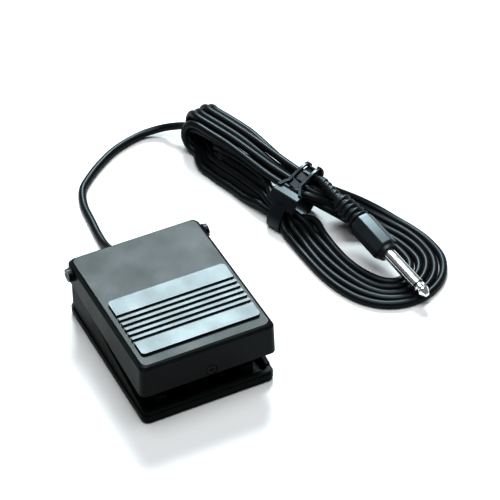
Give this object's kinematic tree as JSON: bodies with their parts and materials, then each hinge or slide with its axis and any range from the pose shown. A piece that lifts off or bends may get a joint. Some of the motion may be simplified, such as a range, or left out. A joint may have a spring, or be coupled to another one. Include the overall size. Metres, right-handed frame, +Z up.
{
  "type": "momentary foot switch pedal",
  "caption": "Square foot switch pedal with a hinged ribbed treadle over a shallow tray, and a thin lead tied in a hank that ends in a quarter-inch phone plug.",
  "frame": {"origin": "on the floor under the middle of the pedal body, which leaves out the free lead and its plug", "axes": "+X to the user's right along the hinge line, +Y from the toe edge to the hinge and lead, +Z up"},
  "size_m": [0.1845, 0.1899, 0.0369],
  "materials": {
    "black_plastic": "moulded black plastic with a fine even texture and smooth edges",
    "mat_rubber": "matt black rubber sheet",
    "cover_plastic": "satin black moulded plastic, fine spark-eroded texture",
    "tread_plastic": "semi-gloss charcoal plastic, slightly mottled on the flats",
    "black_screw": "black oxide steel, semi-gloss",
    "black_nylon": "black nylon",
    "spring_steel": "bright drawn spring steel",
    "bumper_rubber": "soft black rubber",
    "black_steel": "black painted steel strip",
    "switch_plastic": "black glass-filled plastic",
    "plunger_plastic": "red acetal",
    "zinc_screw": "zinc-plated steel",
    "brass": "plain brass",
    "red_insulation": "red PVC insulation",
    "white_insulation": "white PVC insulation",
    "cord_jacket": "glossy black PVC jacket",
    "grommet_rubber": "black moulded rubber",
    "tie_nylon": "glossy black nylon",
    "plug_rubber": "satin black moulded vinyl",
    "plug_shell": "satin charcoal plastic",
    "nickel": "polished nickel plate"
  },
  "bodies": {
    "base": {"base_tray": "black_plastic", "base_mat": "mat_rubber", "hinge_screw_left": "black_screw", "hinge_screw_right": "black_screw", "hinge_washer_left": "black_nylon", "hinge_washer_right": "black_nylon", "return_spring": "spring_steel", "stop_bumpers": "bumper_rubber", "switch_body": "switch_plastic", "switch_pivot_pin": "spring_steel", "switch_screws": "zinc_screw", "switch_terminals": "brass", "signal_wire": "red_insulation", "ground_wire": "white_insulation", "cord_clamp": "switch_plastic", "cord_clamp_screws": "zinc_screw", "cord_jacket_end": "cord_jacket", "cord_grommet": "grommet_rubber", "cord_lead": "cord_jacket", "cord_hank": "cord_jacket", "cord_tail": "cord_jacket", "cord_tie": "tie_nylon", "plug_boot": "plug_rubber", "plug_handle": "plug_shell", "plug_collar": "plug_rubber", "plug_sleeve": "nickel", "plug_insulators": "black_nylon", "plug_tip": "nickel"},
    "treadle": {"pedal_cover": "cover_plastic", "tread_pad": "tread_plastic", "catch_bracket": "black_steel", "catch_screw": "black_screw"},
    "lever": {"switch_lever": "spring_steel"},
    "plunger": {"switch_plunger": "plunger_plastic"}
  },
  "joints": [
    {"name": "treadle_hinge", "type": "hinge", "parent": "base", "child": "treadle", "pos_m": [0, 0.036, 0.0295], "axis": [1, 0, 0], "range_deg": [0, 6.5], "stiffness_Nm_per_rad": 4, "springref_deg": -5.73, "deforming": ["return_spring"]},
    {"name": "lever_hinge", "type": "hinge", "parent": "base", "child": "lever", "pos_m": [-0.013, 0.0072, 0.0162], "axis": [1, 0, 0], "range_deg": [0, 17.5]},
    {"name": "plunger_slide", "type": "slide", "parent": "base", "child": "plunger", "axis": [0, 0, -1], "range_m": [0, 0.0019]}
  ],
  "couplings": [
    {"joint": "lever_hinge", "follows": "treadle_hinge", "ratio": 2.54},
    {"joint": "plunger_slide", "follows": "treadle_hinge", "m_per_rad": 0.0154}
  ]
}
